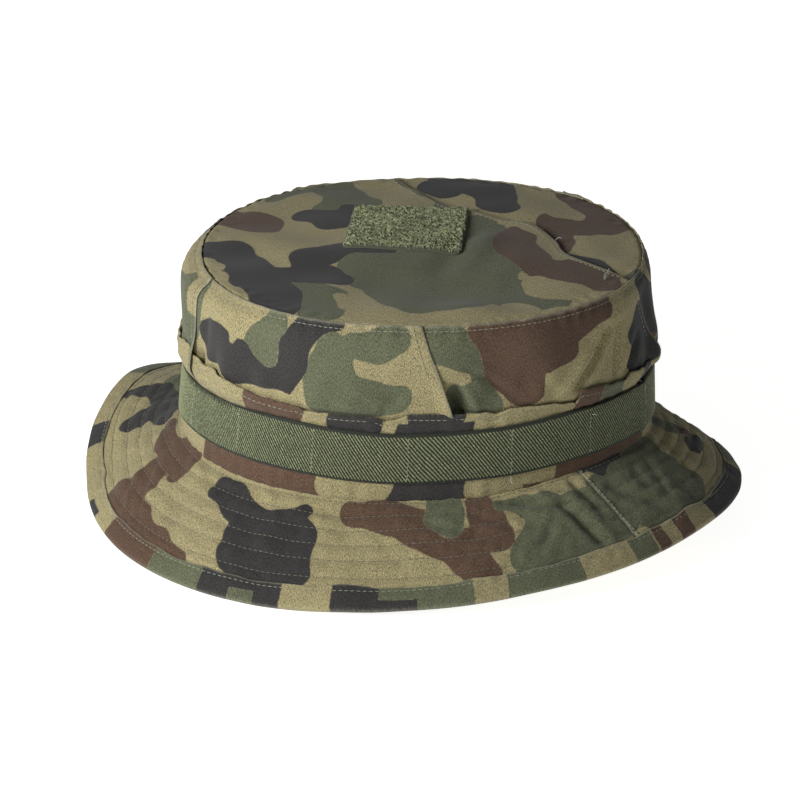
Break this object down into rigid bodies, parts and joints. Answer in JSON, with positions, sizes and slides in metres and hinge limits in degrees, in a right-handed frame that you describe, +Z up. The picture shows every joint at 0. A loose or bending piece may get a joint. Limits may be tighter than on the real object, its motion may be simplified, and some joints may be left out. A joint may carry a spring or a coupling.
{
  "type": "boonie hat",
  "caption": "Soft field hat with a flat round crown, stitched drooping brim, elastic foliage band and a square loop patch on top.",
  "frame": {"origin": "on the table under the middle of the hat's bounding box; the brim's edge rests at z 0", "axes": "+Z up through the crown; -Y is the side with the upright front seam, seen when the loop patch lies square in front of the viewer; +X to that viewer's right, along the head opening's long way"},
  "size_m": [0.2829, 0.2429, 0.1165],
  "materials": {
    "camouflage_cloth": "matt cotton-polyester twill with a printed four-colour woodland pattern in khaki, green, brown and black",
    "lining_cloth": "matt olive plain-weave cotton",
    "stiffener": "matt non-woven",
    "ribbed_elastic": "olive woven elastic with slanting ribs and a slight sheen",
    "sewing_thread": "light grey-green polyester thread",
    "loop_pile": "olive brushed loop pile",
    "label_tape": "off-white woven tape, blank"
  },
  "bodies": {
    "root": {"crown_top_large": "camouflage_cloth", "crown_top_small": "camouflage_cloth", "side_panel_front_left": "camouflage_cloth", "side_panel_front_right": "camouflage_cloth", "side_panel_rear_left": "camouflage_cloth", "side_panel_rear": "camouflage_cloth", "side_panel_rear_right": "camouflage_cloth", "hatband": "camouflage_cloth", "brim_upper_front": "camouflage_cloth", "brim_upper_rear": "camouflage_cloth", "brim_lower_front": "camouflage_cloth", "brim_lower_rear": "camouflage_cloth", "brim_binding": "camouflage_cloth", "crown_top_lining": "lining_cloth", "crown_seam_tape": "lining_cloth", "sweatband": "lining_cloth", "brim_interlining": "stiffener", "foliage_elastic": "ribbed_elastic", "elastic_tack_01": "sewing_thread", "elastic_tack_02": "sewing_thread", "elastic_tack_03": "sewing_thread", "elastic_tack_04": "sewing_thread", "elastic_tack_05": "sewing_thread", "elastic_tack_06": "sewing_thread", "elastic_tack_07": "sewing_thread", "elastic_tack_08": "sewing_thread", "elastic_tack_09": "sewing_thread", "elastic_tack_10": "sewing_thread", "elastic_tack_11": "sewing_thread", "elastic_tack_12": "sewing_thread", "elastic_tack_13": "sewing_thread", "elastic_tack_14": "sewing_thread", "elastic_tack_15": "sewing_thread", "elastic_tack_16": "sewing_thread", "patch_loop": "loop_pile", "size_label": "label_tape"}
  },
  "joints": []
}
